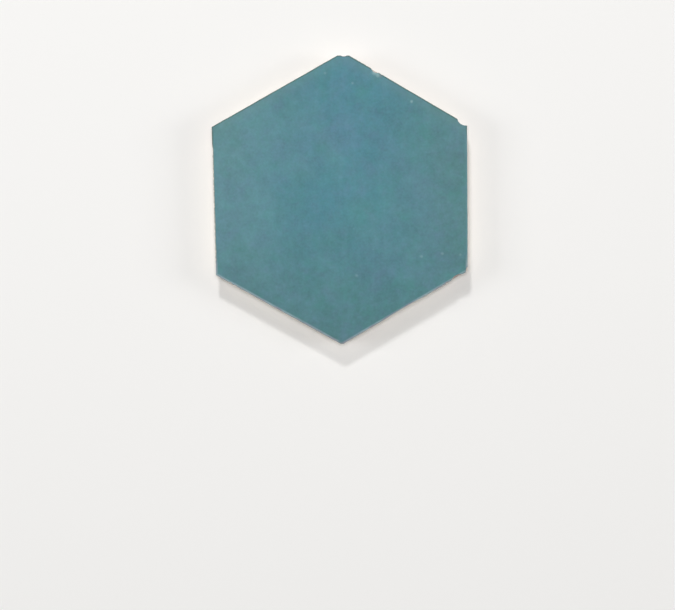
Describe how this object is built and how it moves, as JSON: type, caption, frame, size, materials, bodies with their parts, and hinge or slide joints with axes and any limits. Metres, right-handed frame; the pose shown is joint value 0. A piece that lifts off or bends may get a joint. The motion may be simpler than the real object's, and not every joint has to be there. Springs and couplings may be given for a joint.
{
  "type": "hexagon floor tile",
  "caption": "Hand-cut hexagon floor tile of fired clay with a mottled blue-green glazed face, pale clay sides that lean in towards the raw back, and small chips along its edge.",
  "frame": {"origin": "middle of the raw back, on the plane that lies on the floor", "axes": "+Z out of the glazed face, +Y towards the corner with the broken tip, +X towards the flat edge on its right seen from above"},
  "size_m": [0.1283, 0.1443, 0.0125],
  "materials": {
    "glazed_clay": "satin"
  },
  "bodies": {
    "root": {"hexagon_tile": "glazed_clay"}
  },
  "joints": []
}
